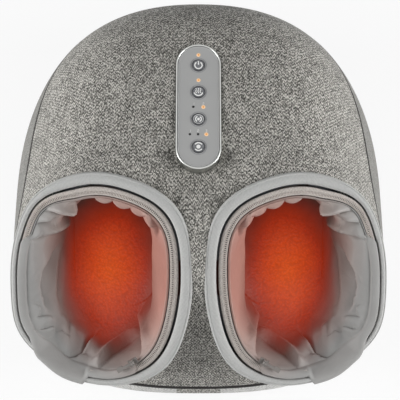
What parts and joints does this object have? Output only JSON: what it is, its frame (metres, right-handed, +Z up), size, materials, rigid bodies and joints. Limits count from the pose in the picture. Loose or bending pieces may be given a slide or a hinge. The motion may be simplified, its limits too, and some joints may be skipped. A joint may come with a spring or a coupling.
{
  "type": "shiatsu foot massager",
  "caption": "Cloth-covered electric foot massager: a low dome with padded leg cuffs, zipped foot sleeves, rotating kneading heads, air bags and a top control panel.",
  "frame": {"origin": "on the floor, under the middle of the object", "axes": "+Z up, +X to the user's right, +Y away from the user, from the cuffs to the toes"},
  "size_m": [0.3846, 0.404, 0.2021],
  "materials": {
    "heather": "grey heather weave",
    "skirt_cloth": "fine grey cloth",
    "piping": "dark woven piping",
    "shell_plastic": "moulded, matt",
    "foot_rubber": "matt",
    "screw_steel": "bright",
    "cuff_cloth": "plain grey cloth",
    "zip_tape": "ribbed tape",
    "zip_metal": "satin",
    "sleeve_cloth": "thin nylon",
    "sole_pad": "fine mesh, lit red by the heater",
    "bag_film": "matt film",
    "hose_rubber": "translucent silicone look",
    "gear_acetal": "moulded",
    "motor_steel": "drawn can",
    "head_plastic": "moulded",
    "circuit_board": "solder mask",
    "inlet_plastic": "moulded",
    "bezel_chrome": "polished",
    "fascia_plastic": "satin grey",
    "button_plastic": "grey with a light ring"
  },
  "bodies": {
    "case": {"upper_fabric_cover": "heather", "lower_fabric_skirt": "skirt_cloth", "seam_strip": "piping", "upper_shell": "shell_plastic", "lower_shell": "shell_plastic", "front_left_foot": "foot_rubber", "front_right_foot": "foot_rubber", "rear_left_foot": "foot_rubber", "rear_right_foot": "foot_rubber", "rear_left_case_screw": "screw_steel", "rear_right_case_screw": "screw_steel", "left_case_screw": "screw_steel", "right_case_screw": "screw_steel", "front_case_screw": "screw_steel", "left_leg_cuff": "cuff_cloth", "right_leg_cuff": "cuff_cloth", "left_zip_tape": "zip_tape", "right_zip_tape": "zip_tape", "left_zip_slider": "zip_metal", "right_zip_slider": "zip_metal", "left_foot_sleeve": "sleeve_cloth", "right_foot_sleeve": "sleeve_cloth", "left_sole_panel": "sole_pad", "right_sole_panel": "sole_pad", "left_instep_air_bag": "bag_film", "right_instep_air_bag": "bag_film", "left_side_air_bag": "bag_film", "right_side_air_bag": "bag_film", "left_air_hose": "hose_rubber", "right_air_hose": "hose_rubber", "gear_case_base": "shell_plastic", "gear_case_cover": "shell_plastic", "drive_motor": "motor_steel", "air_pump": "shell_plastic", "valve_block": "shell_plastic", "pump_hose": "hose_rubber", "main_board": "circuit_board", "dc_inlet": "inlet_plastic", "panel_bezel": "bezel_chrome", "panel_plate": "fascia_plastic", "key_board": "circuit_board"},
    "centre_gear": {"centre_gear": "gear_acetal"},
    "motor_pinion": {"motor_pinion": "gear_acetal"},
    "rear_left_head": {"rear_left_head_gear": "gear_acetal", "rear_left_kneading_head": "head_plastic"},
    "rear_right_head": {"rear_right_head_gear": "gear_acetal", "rear_right_kneading_head": "head_plastic"},
    "front_left_head": {"front_left_head_gear": "gear_acetal", "front_left_kneading_head": "head_plastic"},
    "front_right_head": {"front_right_head_gear": "gear_acetal", "front_right_kneading_head": "head_plastic"},
    "power_button": {"power_button": "button_plastic"},
    "heat_button": {"heat_button": "button_plastic"},
    "kneading_button": {"kneading_button": "button_plastic"},
    "pressure_button": {"pressure_button": "button_plastic"},
    "left_zip_pull": {"left_zip_pull": "zip_metal"},
    "right_zip_pull": {"right_zip_pull": "zip_metal"}
  },
  "joints": [
    {"name": "centre_gear_spin", "type": "hinge", "parent": "case", "child": "centre_gear", "pos_m": [0, -0.032, 0.023], "axis": [0, 0, 1], "continuous": true},
    {"name": "pinion_spin", "type": "hinge", "parent": "case", "child": "motor_pinion", "pos_m": [0, 0.03363, 0.023], "axis": [0, 0, 1], "continuous": true},
    {"name": "rear_left_head_spin", "type": "hinge", "parent": "case", "child": "rear_left_head", "pos_m": [-0.0875, -0.032, 0.023], "axis": [0, 0, 1], "continuous": true},
    {"name": "rear_right_head_spin", "type": "hinge", "parent": "case", "child": "rear_right_head", "pos_m": [0.0875, -0.032, 0.023], "axis": [0, 0, 1], "continuous": true},
    {"name": "front_left_head_spin", "type": "hinge", "parent": "case", "child": "front_left_head", "pos_m": [-0.0875, -0.107, 0.023], "axis": [0, 0, 1], "continuous": true},
    {"name": "front_right_head_spin", "type": "hinge", "parent": "case", "child": "front_right_head", "pos_m": [0.0875, -0.107, 0.023], "axis": [0, 0, 1], "continuous": true},
    {"name": "power_press", "type": "slide", "parent": "case", "child": "power_button", "axis": [0, 0, -1], "range_m": [0, 0.0008], "stiffness_N_per_m": 800, "springref_m": -0.0004},
    {"name": "heat_press", "type": "slide", "parent": "case", "child": "heat_button", "axis": [0, 0, -1], "range_m": [0, 0.0008], "stiffness_N_per_m": 800, "springref_m": -0.0004},
    {"name": "kneading_press", "type": "slide", "parent": "case", "child": "kneading_button", "axis": [0, 0, -1], "range_m": [0, 0.0008], "stiffness_N_per_m": 800, "springref_m": -0.0004},
    {"name": "pressure_press", "type": "slide", "parent": "case", "child": "pressure_button", "axis": [0, 0, -1], "range_m": [0, 0.0008], "stiffness_N_per_m": 800, "springref_m": -0.0004},
    {"name": "left_pull_swing", "type": "hinge", "parent": "case", "child": "left_zip_pull", "pos_m": [-0.06308, -0.18546, 0.09915], "axis": [-0.506, 0.7539, 0.4191], "range_deg": [0, 150]},
    {"name": "right_pull_swing", "type": "hinge", "parent": "case", "child": "right_zip_pull", "pos_m": [0.06308, -0.18546, 0.09915], "axis": [-0.506, -0.7539, -0.4191], "range_deg": [0, 150]}
  ],
  "couplings": [
    {"joint": "pinion_spin", "follows": "centre_gear_spin", "ratio": -3.2},
    {"joint": "rear_left_head_spin", "follows": "centre_gear_spin", "ratio": -1.3333},
    {"joint": "rear_right_head_spin", "follows": "centre_gear_spin", "ratio": -1.3333},
    {"joint": "front_left_head_spin", "follows": "centre_gear_spin", "ratio": 1.3333},
    {"joint": "front_right_head_spin", "follows": "centre_gear_spin", "ratio": 1.3333}
  ]
}
